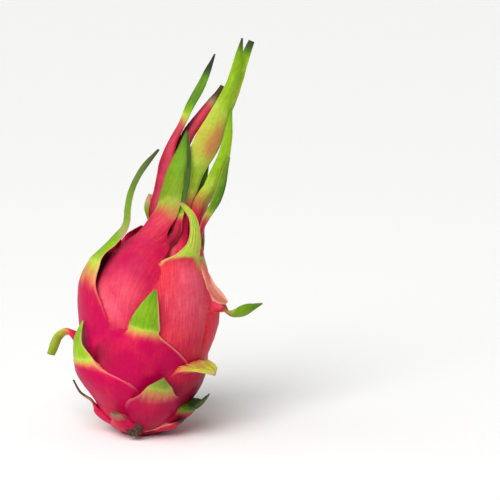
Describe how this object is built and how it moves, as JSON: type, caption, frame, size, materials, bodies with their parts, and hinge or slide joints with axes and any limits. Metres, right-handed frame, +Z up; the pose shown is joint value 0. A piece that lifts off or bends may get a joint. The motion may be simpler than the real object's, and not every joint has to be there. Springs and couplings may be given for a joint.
{
  "type": "dragon fruit",
  "caption": "Whole dragon fruit standing on its stem end, an egg-shaped body clad in overlapping leafy scales, with a tall leaning tuft of pointed scales at the crown.",
  "frame": {"origin": "centre of the small flat spot at the stem end that the fruit rests on", "axes": "+Z up from the stem end to the crown, -Y towards the front, +X towards the side that the crown leans to"},
  "size_m": [0.1321, 0.1008, 0.2381],
  "materials": {
    "skin": "waxy natural fruit skin with a soft shine, magenta to coral red, its scales turning yellow-green towards their tips"
  },
  "bodies": {
    "root": {"dragon_fruit": "skin"}
  },
  "joints": []
}
